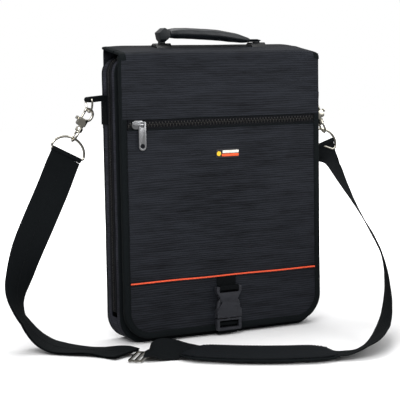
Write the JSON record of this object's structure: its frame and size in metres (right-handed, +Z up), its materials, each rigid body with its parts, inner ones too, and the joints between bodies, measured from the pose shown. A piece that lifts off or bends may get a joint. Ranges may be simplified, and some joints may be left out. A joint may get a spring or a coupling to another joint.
{
  "type": "portfolio case",
  "caption": "upright stiffened cloth portfolio case with a fold-over flap, zips, side-release buckle, carrying handle and a padded shoulder strap on ring hooks",
  "frame": {"origin": "middle of the case's underside, on the bottom gusset where the case stands, below the middle of its front", "axes": "+Z up, -Y the way the flap faces, +X to the right seen from the front"},
  "size_m": [0.6013, 0.3276, 0.4711],
  "materials": {
    "fabric": "ribbed woven nylon, matt",
    "binding": "grosgrain tape",
    "lining": "plain woven lining",
    "board": "stiffening board inside the cloth",
    "webbing": "woven webbing",
    "pad": "padded cloth",
    "handle_leather": "smooth leather",
    "piping": "orange cord piping",
    "label": "moulded patch",
    "plastic": "black nylon plastic, slightly glossy",
    "zip_tape": "coil zip",
    "zip_metal": "grey cast metal",
    "nickel": "bright nickel plate"
  },
  "bodies": {
    "case": {"back_panel": "fabric", "back_board": "board", "rear_binding": "binding", "rear_gusset": "fabric", "bottom_gusset": "fabric", "front_gusset": "fabric", "front_binding": "binding", "front_panel": "fabric", "front_board": "board", "flap_rear_strip": "fabric", "case_zip": "zip_tape", "side_tab_left": "webbing", "side_tab_right": "webbing", "buckle_lower_webbing": "webbing", "strap_left": "webbing", "strap_left_return": "webbing", "strap_middle": "webbing", "strap_right": "webbing"},
    "spine": {"spine_panel": "fabric", "spine_binding_left": "binding", "spine_binding_right": "binding", "handle_tab_left": "handle_leather", "handle_tab_right": "handle_leather"},
    "handle": {"handle_grip": "handle_leather", "handle_end_left": "handle_leather", "handle_end_right": "handle_leather"},
    "cover": {"upper_panel": "fabric", "pocket_panel": "fabric", "lower_panel": "fabric", "flap_board": "board", "flap_lining": "lining", "flap_binding": "binding", "orange_piping": "piping", "label_patch": "label", "pocket_zip": "zip_tape", "buckle_webbing": "webbing", "buckle_socket": "plastic"},
    "pocket_slider": {"pocket_slider": "zip_metal"},
    "pocket_pull": {"pocket_pull": "zip_metal"},
    "right_zip_slider": {"right_zip_slider": "zip_metal"},
    "right_zip_pull": {"right_zip_pull": "zip_metal"},
    "buckle_insert": {"buckle_insert": "plastic"},
    "buckle_prong_left": {"buckle_prong_left": "plastic"},
    "buckle_prong_right": {"buckle_prong_right": "plastic"},
    "strap_slider": {"strap_slider": "nickel"},
    "shoulder_pad": {"shoulder_pad": "pad"},
    "tab_ring_left": {"tab_ring_left": "nickel"},
    "hook_left": {"hook_left": "nickel"},
    "hook_bolt_left": {"hook_bolt_left": "nickel"},
    "swivel_left": {"swivel_left": "nickel"},
    "strap_ring_left": {"strap_ring_left": "nickel"},
    "tab_ring_right": {"tab_ring_right": "nickel"},
    "hook_right": {"hook_right": "nickel"},
    "hook_bolt_right": {"hook_bolt_right": "nickel"},
    "swivel_right": {"swivel_right": "nickel"},
    "strap_ring_right": {"strap_ring_right": "nickel"}
  },
  "joints": [
    {"name": "flap_rear_fold", "type": "hinge", "parent": "case", "child": "spine", "pos_m": [0, 0.0346, 0.4424], "axis": [-1, 0, 0], "range_deg": [0, 120]},
    {"name": "flap_front_fold", "type": "hinge", "parent": "spine", "child": "cover", "pos_m": [0, -0.0346, 0.4306], "axis": [-1, 0, 0], "range_deg": [0, 165]},
    {"name": "handle_swing", "type": "hinge", "parent": "spine", "child": "handle", "pos_m": [0, 0.012, 0.4486], "axis": [1, 0, 0], "range_deg": [-28, 28]},
    {"name": "pocket_zip_travel", "type": "slide", "parent": "cover", "child": "pocket_slider", "axis": [1, 0, 0], "range_m": [0, 0.285]},
    {"name": "pocket_pull_swing", "type": "hinge", "parent": "pocket_slider", "child": "pocket_pull", "pos_m": [-0.1375, -0.03715, 0.3285], "axis": [0, 1, 0], "range_deg": [-20, 20]},
    {"name": "right_zip_travel", "type": "slide", "parent": "case", "child": "right_zip_slider", "axis": [0, 0, -1], "range_m": [0, 0.33]},
    {"name": "right_pull_lift", "type": "hinge", "parent": "right_zip_slider", "child": "right_zip_pull", "pos_m": [0.17385, 0.007, 0.3946], "axis": [0, -1, 0], "range_deg": [0, 80]},
    {"name": "buckle_release", "type": "slide", "parent": "case", "child": "buckle_insert", "axis": [0, 0, -1], "range_m": [0, 0.03], "deforming": ["buckle_lower_webbing"]},
    {"name": "prong_left_squeeze", "type": "hinge", "parent": "buckle_insert", "child": "buckle_prong_left", "pos_m": [-0.012, -0.04, 0.0275], "axis": [0, 1, 0], "range_deg": [0, 8], "stiffness_Nm_per_rad": 0.05},
    {"name": "prong_right_squeeze", "type": "hinge", "parent": "buckle_insert", "child": "buckle_prong_right", "pos_m": [0.012, -0.04, 0.0275], "axis": [0, -1, 0], "range_deg": [0, 8], "stiffness_Nm_per_rad": 0.05},
    {"name": "tab_ring_left_swing", "type": "hinge", "parent": "case", "child": "tab_ring_left", "pos_m": [-0.196, 0.023, 0.366], "axis": [0, 1, 0], "range_deg": [-12, 20], "deforming": ["strap_left", "strap_left_return"]},
    {"name": "hook_left_swing", "type": "hinge", "parent": "tab_ring_left", "child": "hook_left", "pos_m": [-0.196, 0.023, 0.3476], "axis": [0, 1, 0], "range_deg": [-10, 10]},
    {"name": "hook_bolt_left_travel", "type": "slide", "parent": "hook_left", "child": "hook_bolt_left", "axis": [-0.5592, 0, -0.829], "range_m": [0, 0.004], "stiffness_N_per_m": 250},
    {"name": "swivel_left_turn", "type": "hinge", "parent": "hook_left", "child": "swivel_left", "pos_m": [-0.21311, 0.023, 0.32223], "axis": [0.5592, 0, 0.829], "range_deg": [-15, 15]},
    {"name": "strap_ring_left_swing", "type": "hinge", "parent": "swivel_left", "child": "strap_ring_left", "pos_m": [-0.22172, 0.023, 0.30946], "axis": [0, 1, 0], "range_deg": [-12, 12]},
    {"name": "tab_ring_right_swing", "type": "hinge", "parent": "case", "child": "tab_ring_right", "pos_m": [0.196, 0.023, 0.366], "axis": [0, -1, 0], "range_deg": [-4, 20], "deforming": ["strap_right"]},
    {"name": "hook_right_swing", "type": "hinge", "parent": "tab_ring_right", "child": "hook_right", "pos_m": [0.196, 0.023, 0.3476], "axis": [0, -1, 0], "range_deg": [-2, 10]},
    {"name": "hook_bolt_right_travel", "type": "slide", "parent": "hook_right", "child": "hook_bolt_right", "axis": [0.3987, 0, -0.9171], "range_m": [0, 0.004], "stiffness_N_per_m": 250},
    {"name": "swivel_right_turn", "type": "hinge", "parent": "hook_right", "child": "swivel_right", "pos_m": [0.2082, 0.023, 0.31954], "axis": [-0.3987, 0, 0.9171], "range_deg": [-15, 15]},
    {"name": "strap_ring_right_swing", "type": "hinge", "parent": "swivel_right", "child": "strap_ring_right", "pos_m": [0.21434, 0.023, 0.30542], "axis": [0, -1, 0], "range_deg": [-4, 10]},
    {"name": "strap_slider_travel", "type": "slide", "parent": "case", "child": "strap_slider", "axis": [0.8, -0.6, 0], "range_m": [-0.01, 0.01], "deforming": ["strap_middle"]},
    {"name": "shoulder_pad_travel", "type": "slide", "parent": "case", "child": "shoulder_pad", "axis": [0.84, -0.5427, 0], "range_m": [-0.01, 0.01]}
  ],
  "couplings": [
    {"joint": "prong_right_squeeze", "follows": "prong_left_squeeze", "ratio": 1}
  ]
}
